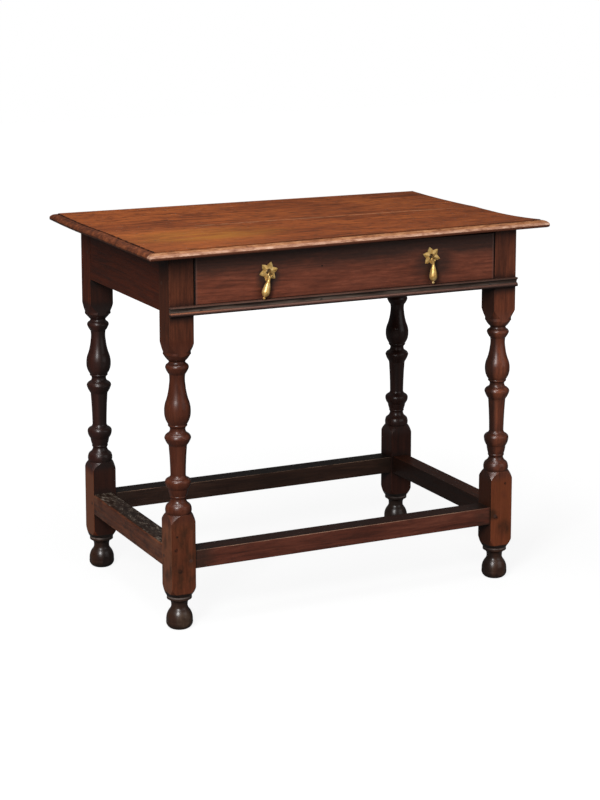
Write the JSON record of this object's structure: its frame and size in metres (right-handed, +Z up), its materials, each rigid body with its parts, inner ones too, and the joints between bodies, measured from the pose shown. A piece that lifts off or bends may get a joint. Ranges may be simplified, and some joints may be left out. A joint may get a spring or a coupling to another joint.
{
  "type": "tavern table",
  "caption": "Oak tavern table with a moulded, slightly warped top, a drawer with brass drop handles, turned legs and a box of stretchers.",
  "frame": {"origin": "on the floor, below the middle of the table top", "axes": "+X along the table's length to its right end, seen from the drawer side; -Y is the drawer side; +Z up"},
  "size_m": [0.83, 0.5346, 0.7208],
  "materials": {
    "oak_top": "waxed, worn satin",
    "oak_frame": "dark waxed",
    "oak_drawer": "dark waxed",
    "oak_inside": "bare, dry",
    "oak_pegs": "dark waxed end grain",
    "iron": "dark, rusted",
    "brass": "aged, worn bright on high spots"
  },
  "bodies": {
    "frame": {"top_front_board": "oak_top", "top_back_board": "oak_top", "top_pegs": "oak_pegs", "front_left_leg": "oak_frame", "front_right_leg": "oak_frame", "back_left_leg": "oak_frame", "back_right_leg": "oak_frame", "left_apron": "oak_frame", "right_apron": "oak_frame", "back_apron": "oak_frame", "front_rail": "oak_frame", "rail_moulding": "oak_frame", "moulding_nails": "iron", "apron_pegs": "oak_pegs", "front_stretcher": "oak_frame", "back_stretcher": "oak_frame", "left_stretcher": "oak_frame", "right_stretcher": "oak_frame", "stretcher_pegs": "oak_pegs", "left_drawer_runner": "oak_inside", "right_drawer_runner": "oak_inside", "left_drawer_guide": "oak_inside", "right_drawer_guide": "oak_inside", "guide_nails": "iron", "drawer_stops": "oak_inside"},
    "drawer": {"drawer_front": "oak_drawer", "drawer_left_side": "oak_inside", "drawer_right_side": "oak_inside", "drawer_back": "oak_inside", "drawer_bottom": "oak_inside", "drawer_nails": "iron", "left_handle_plate": "brass", "left_handle_pin": "brass", "right_handle_plate": "brass", "right_handle_pin": "brass"},
    "left_drop": {"left_handle_drop": "brass"},
    "right_drop": {"right_handle_drop": "brass"}
  },
  "joints": [
    {"name": "drawer_slide", "type": "slide", "parent": "frame", "child": "drawer", "axis": [0, -1, 0], "range_m": [0, 0.3]},
    {"name": "left_drop_swing", "type": "hinge", "parent": "drawer", "child": "left_drop", "pos_m": [-0.167, -0.2366, 0.6575], "axis": [-1, 0, 0], "range_deg": [-1, 135]},
    {"name": "right_drop_swing", "type": "hinge", "parent": "drawer", "child": "right_drop", "pos_m": [0.174, -0.2366, 0.661], "axis": [-1, 0, 0], "range_deg": [-1, 135]}
  ]
}
